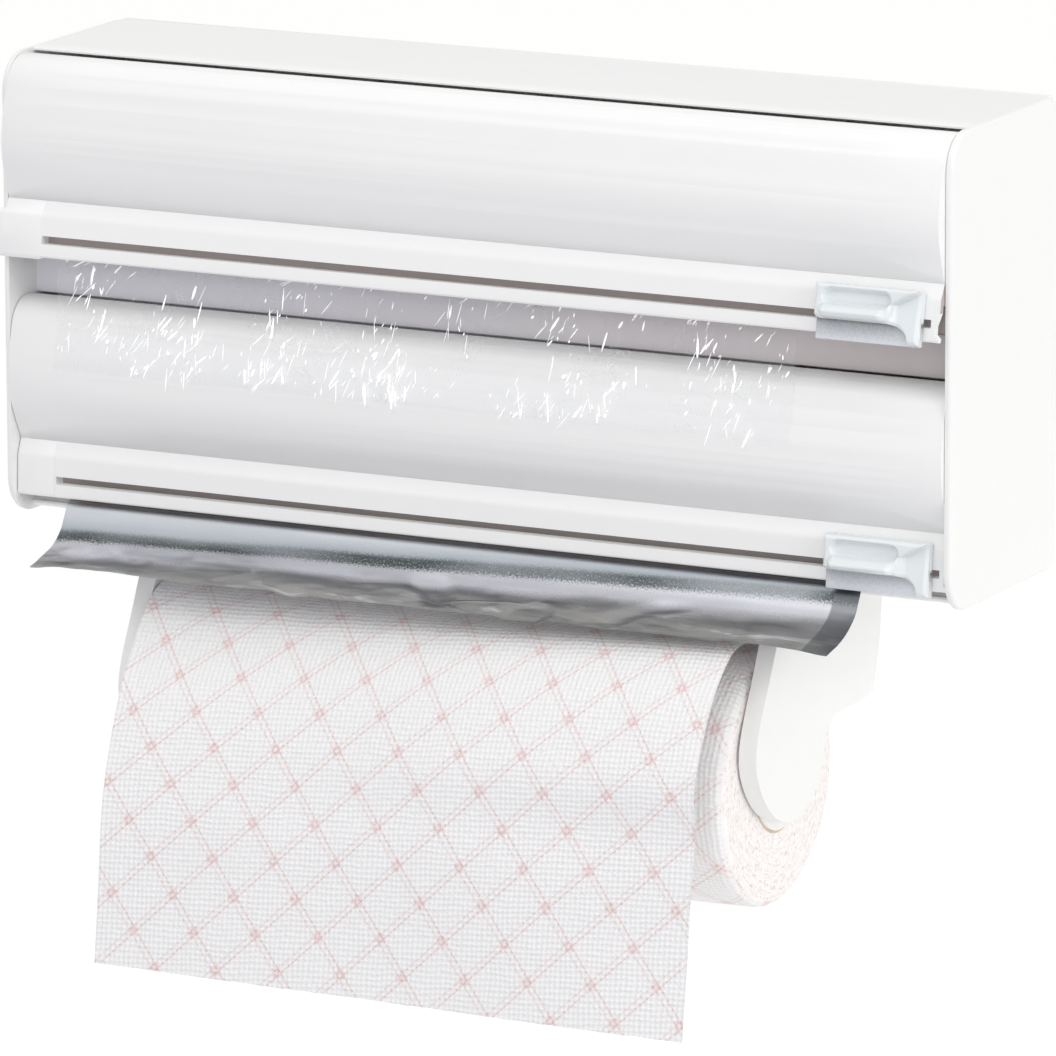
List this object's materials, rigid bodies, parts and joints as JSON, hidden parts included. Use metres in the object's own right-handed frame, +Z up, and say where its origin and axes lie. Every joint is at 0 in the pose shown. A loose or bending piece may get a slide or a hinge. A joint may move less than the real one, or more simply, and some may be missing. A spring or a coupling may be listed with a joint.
{
  "type": "wall-mounted cling film, foil and kitchen paper dispenser",
  "caption": "White wall-mounted kitchen dispenser: cling film and foil behind hinged covers with slotted rails and sliding cutters, kitchen paper roll on two arms underneath.",
  "frame": {"origin": "on the back face that meets the wall, at the centre of the four wall screw holes (middle of the width, middle of the housing's height)", "axes": "+X along the dispenser to the user's right, +Y into the wall, +Z up"},
  "size_m": [0.385, 0.147, 0.3246],
  "materials": {
    "white_shell": "satin moulded, slightly warm white",
    "white_lid": "satin moulded, slightly warm white",
    "hidden_plastic": "matt moulded",
    "slider_plastic": "glossy pale blue-grey",
    "blade_steel": "ground edge",
    "screw_steel": "plated",
    "cling_film": "clear, creased",
    "foil_sheet": "crumpled, bright rolled",
    "kitchen_paper": "embossed, soft pink print",
    "core_card": "plain spiral-wound"
  },
  "bodies": {
    "housing": {"back_panel": "white_shell", "top_panel": "white_shell", "middle_shelf": "white_shell", "base_tray": "white_shell", "left_cheek": "white_shell", "right_cheek": "white_shell", "film_cradle_left": "hidden_plastic", "film_cradle_right": "hidden_plastic", "foil_cradle_left": "hidden_plastic", "foil_cradle_right": "hidden_plastic", "left_arm": "white_shell", "right_arm": "white_shell", "left_hub": "white_shell", "right_hub": "white_shell", "arm_screws": "screw_steel", "film_tail": "cling_film", "foil_tail": "foil_sheet", "paper_tail": "kitchen_paper"},
    "upper_cover": {"upper_lid": "white_lid", "upper_rail": "white_lid", "upper_rail_tab": "white_lid", "upper_hinge_pin_left": "hidden_plastic", "upper_hinge_pin_right": "hidden_plastic"},
    "lower_cover": {"lower_lid": "white_lid", "lower_rail": "white_lid", "lower_rail_tab": "white_lid", "lower_hinge_pin_left": "hidden_plastic", "lower_hinge_pin_right": "hidden_plastic"},
    "upper_cutter": {"upper_slider_plate": "slider_plastic", "upper_slider_grip": "slider_plastic", "upper_slider_shoe": "slider_plastic", "upper_cutter_blade": "blade_steel"},
    "lower_cutter": {"lower_slider_plate": "slider_plastic", "lower_slider_grip": "slider_plastic", "lower_slider_shoe": "slider_plastic", "lower_cutter_blade": "blade_steel"},
    "film_roll": {"film_winding": "cling_film", "film_core": "core_card", "film_spindles": "hidden_plastic"},
    "foil_roll": {"foil_winding": "foil_sheet", "foil_core": "core_card", "foil_spindles": "hidden_plastic"},
    "paper_roll": {"paper_winding": "kitchen_paper", "paper_core": "core_card"}
  },
  "joints": [
    {"name": "upper_cover_hinge", "type": "hinge", "parent": "housing", "child": "upper_cover", "pos_m": [0, -0.076, 0.08225], "axis": [-1, 0, 0], "range_deg": [0, 75]},
    {"name": "lower_cover_hinge", "type": "hinge", "parent": "housing", "child": "lower_cover", "pos_m": [0, -0.07627, -0.00785], "axis": [-1, 0, 0], "range_deg": [0, 60], "deforming": ["film_tail"]},
    {"name": "upper_cutter_slide", "type": "slide", "parent": "upper_cover", "child": "upper_cutter", "axis": [-1, 0, 0], "range_m": [-0.004, 0.31]},
    {"name": "lower_cutter_slide", "type": "slide", "parent": "lower_cover", "child": "lower_cutter", "axis": [-1, 0, 0], "range_m": [-0.004, 0.31]},
    {"name": "film_roll_spin", "type": "hinge", "parent": "housing", "child": "film_roll", "pos_m": [0, -0.04, 0.04125], "axis": [1, 0, 0], "continuous": true},
    {"name": "foil_roll_spin", "type": "hinge", "parent": "housing", "child": "foil_roll", "pos_m": [0, -0.038, -0.04475], "axis": [1, 0, 0], "continuous": true},
    {"name": "paper_roll_spin", "type": "hinge", "parent": "housing", "child": "paper_roll", "pos_m": [0, -0.072, -0.15775], "axis": [1, 0, 0], "continuous": true}
  ]
}
